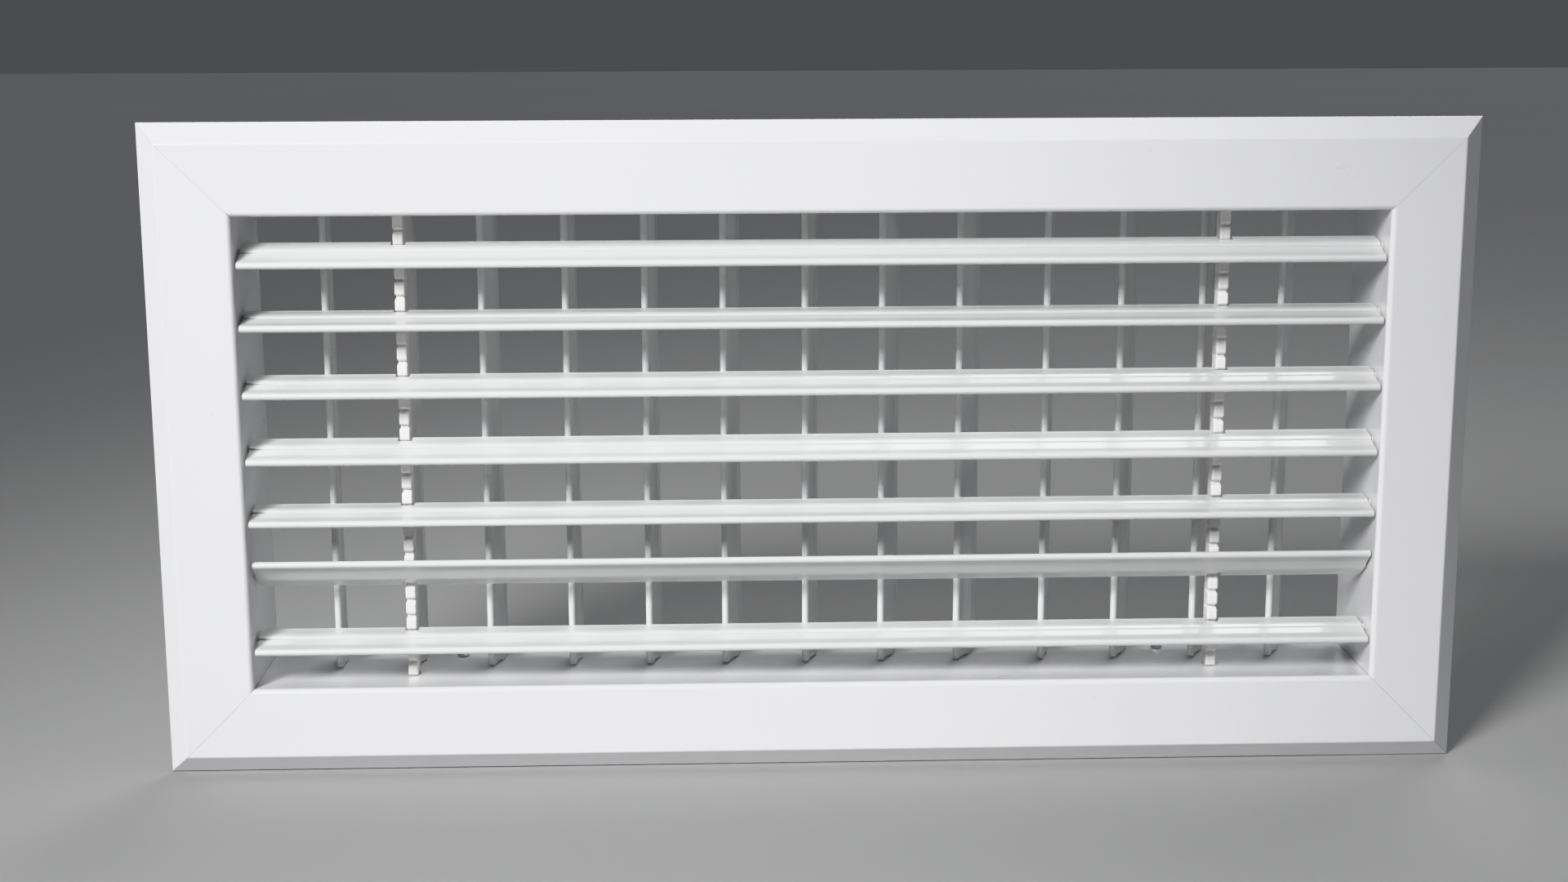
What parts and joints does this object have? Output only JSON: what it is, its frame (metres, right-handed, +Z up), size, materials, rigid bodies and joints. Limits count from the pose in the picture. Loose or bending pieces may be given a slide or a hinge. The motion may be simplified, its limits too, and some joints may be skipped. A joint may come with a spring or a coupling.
{
  "type": "louvred air grille",
  "caption": "Wall air grille with a bevelled mitred frame, tilting horizontal front blades, swivelling upright rear blades and notched bracing mullions.",
  "frame": {"origin": "centre of the wall opening, in the plane of the wall that the flange rests on", "axes": "+X to the right seen from the room, +Y into the wall along the air path, +Z up"},
  "size_m": [0.4, 0.04, 0.2],
  "materials": {
    "frame_powder_coat": "satin white powder coat, fine orange peel",
    "blade_powder_coat": "satin white powder coat on an extruded blade",
    "white_nylon": "moulded natural white nylon",
    "mullion_plastic": "moulded white plastic, slightly glossy beads",
    "mill_aluminium": "mill finish, extrusion lines",
    "rivet_aluminium": "bright blind rivet",
    "spring_steel": "zinc plated spring steel",
    "foam_seal": "closed-cell foam strip"
  },
  "bodies": {
    "frame": {"frame_top": "frame_powder_coat", "frame_bottom": "frame_powder_coat", "frame_left": "frame_powder_coat", "frame_right": "frame_powder_coat", "corner_key_top_right": "mill_aluminium", "corner_key_bottom_right": "mill_aluminium", "corner_key_bottom_left": "mill_aluminium", "corner_key_top_left": "mill_aluminium", "seal_top": "foam_seal", "seal_bottom": "foam_seal", "seal_left": "foam_seal", "seal_right": "foam_seal", "spring_clip_top_left": "spring_steel", "spring_clip_top_right": "spring_steel", "spring_clip_bottom_left": "spring_steel", "spring_clip_bottom_right": "spring_steel", "clip_rivet_top_left": "rivet_aluminium", "clip_rivet_top_right": "rivet_aluminium", "clip_rivet_bottom_left": "rivet_aluminium", "clip_rivet_bottom_right": "rivet_aluminium", "mullion_left": "mullion_plastic", "mullion_right": "mullion_plastic"},
    "front_blade_1": {"front_blade_1": "blade_powder_coat", "pivot_pin_left_1": "white_nylon", "pivot_pin_right_1": "white_nylon"},
    "front_blade_2": {"front_blade_2": "blade_powder_coat", "pivot_pin_left_2": "white_nylon", "pivot_pin_right_2": "white_nylon"},
    "front_blade_3": {"front_blade_3": "blade_powder_coat", "pivot_pin_left_3": "white_nylon", "pivot_pin_right_3": "white_nylon"},
    "front_blade_4": {"front_blade_4": "blade_powder_coat", "pivot_pin_left_4": "white_nylon", "pivot_pin_right_4": "white_nylon"},
    "front_blade_5": {"front_blade_5": "blade_powder_coat", "pivot_pin_left_5": "white_nylon", "pivot_pin_right_5": "white_nylon"},
    "front_blade_6": {"front_blade_6": "blade_powder_coat", "pivot_pin_left_6": "white_nylon", "pivot_pin_right_6": "white_nylon"},
    "front_blade_7": {"front_blade_7": "blade_powder_coat", "pivot_pin_left_7": "white_nylon", "pivot_pin_right_7": "white_nylon"},
    "rear_blade_01": {"rear_blade_01": "blade_powder_coat"},
    "rear_blade_02": {"rear_blade_02": "blade_powder_coat"},
    "rear_blade_03": {"rear_blade_03": "blade_powder_coat"},
    "rear_blade_04": {"rear_blade_04": "blade_powder_coat"},
    "rear_blade_05": {"rear_blade_05": "blade_powder_coat"},
    "rear_blade_06": {"rear_blade_06": "blade_powder_coat"},
    "rear_blade_07": {"rear_blade_07": "blade_powder_coat"},
    "rear_blade_08": {"rear_blade_08": "blade_powder_coat"},
    "rear_blade_09": {"rear_blade_09": "blade_powder_coat"},
    "rear_blade_10": {"rear_blade_10": "blade_powder_coat"},
    "rear_blade_11": {"rear_blade_11": "blade_powder_coat"},
    "rear_blade_12": {"rear_blade_12": "blade_powder_coat"},
    "rear_blade_13": {"rear_blade_13": "blade_powder_coat"}
  },
  "joints": [
    {"name": "front_blade_1_tilt", "type": "hinge", "parent": "frame", "child": "front_blade_1", "pos_m": [0, 0.0033, 0.0608], "axis": [1, 0, 0], "range_deg": [-67, 23]},
    {"name": "front_blade_2_tilt", "type": "hinge", "parent": "frame", "child": "front_blade_2", "pos_m": [0, 0.0033, 0.0408], "axis": [1, 0, 0], "range_deg": [-58.5, 31.5]},
    {"name": "front_blade_3_tilt", "type": "hinge", "parent": "frame", "child": "front_blade_3", "pos_m": [0, 0.0033, 0.0208], "axis": [1, 0, 0], "range_deg": [-62, 28]},
    {"name": "front_blade_4_tilt", "type": "hinge", "parent": "frame", "child": "front_blade_4", "pos_m": [0, 0.0033, 0.0008], "axis": [1, 0, 0], "range_deg": [-64.5, 25.5]},
    {"name": "front_blade_5_tilt", "type": "hinge", "parent": "frame", "child": "front_blade_5", "pos_m": [0, 0.0033, -0.0192], "axis": [1, 0, 0], "range_deg": [-58, 32]},
    {"name": "front_blade_6_tilt", "type": "hinge", "parent": "frame", "child": "front_blade_6", "pos_m": [0, 0.0033, -0.0392], "axis": [1, 0, 0], "range_deg": [-4.5, 85.5]},
    {"name": "front_blade_7_tilt", "type": "hinge", "parent": "frame", "child": "front_blade_7", "pos_m": [0, 0.0033, -0.0592], "axis": [1, 0, 0], "range_deg": [-59.5, 30.5]},
    {"name": "rear_blade_01_swivel", "type": "hinge", "parent": "frame", "child": "rear_blade_01", "pos_m": [-0.1495, 0.0235, 0], "axis": [0, 0, -1], "range_deg": [-45, 45]},
    {"name": "rear_blade_02_swivel", "type": "hinge", "parent": "frame", "child": "rear_blade_02", "pos_m": [-0.12458, 0.0235, 0], "axis": [0, 0, -1], "range_deg": [-54.5, 35.5]},
    {"name": "rear_blade_03_swivel", "type": "hinge", "parent": "frame", "child": "rear_blade_03", "pos_m": [-0.09967, 0.0235, 0], "axis": [0, 0, -1], "range_deg": [-60.5, 29.5]},
    {"name": "rear_blade_04_swivel", "type": "hinge", "parent": "frame", "child": "rear_blade_04", "pos_m": [-0.07475, 0.0235, 0], "axis": [0, 0, -1], "range_deg": [-55, 35]},
    {"name": "rear_blade_05_swivel", "type": "hinge", "parent": "frame", "child": "rear_blade_05", "pos_m": [-0.04983, 0.0235, 0], "axis": [0, 0, -1], "range_deg": [-59, 31]},
    {"name": "rear_blade_06_swivel", "type": "hinge", "parent": "frame", "child": "rear_blade_06", "pos_m": [-0.02492, 0.0235, 0], "axis": [0, 0, -1], "range_deg": [-65.5, 24.5]},
    {"name": "rear_blade_07_swivel", "type": "hinge", "parent": "frame", "child": "rear_blade_07", "pos_m": [0, 0.0235, 0], "axis": [0, 0, -1], "range_deg": [-62.5, 27.5]},
    {"name": "rear_blade_08_swivel", "type": "hinge", "parent": "frame", "child": "rear_blade_08", "pos_m": [0.02492, 0.0235, 0], "axis": [0, 0, -1], "range_deg": [-70, 20]},
    {"name": "rear_blade_09_swivel", "type": "hinge", "parent": "frame", "child": "rear_blade_09", "pos_m": [0.04983, 0.0235, 0], "axis": [0, 0, -1], "range_deg": [-76.5, 13.5]},
    {"name": "rear_blade_10_swivel", "type": "hinge", "parent": "frame", "child": "rear_blade_10", "pos_m": [0.07475, 0.0235, 0], "axis": [0, 0, -1], "range_deg": [-60, 30]},
    {"name": "rear_blade_11_swivel", "type": "hinge", "parent": "frame", "child": "rear_blade_11", "pos_m": [0.09967, 0.0235, 0], "axis": [0, 0, -1], "range_deg": [-73, 17]},
    {"name": "rear_blade_12_swivel", "type": "hinge", "parent": "frame", "child": "rear_blade_12", "pos_m": [0.12458, 0.0235, 0], "axis": [0, 0, -1], "range_deg": [-71, 19]},
    {"name": "rear_blade_13_swivel", "type": "hinge", "parent": "frame", "child": "rear_blade_13", "pos_m": [0.1495, 0.0235, 0], "axis": [0, 0, -1], "range_deg": [-72.5, 17.5]}
  ]
}
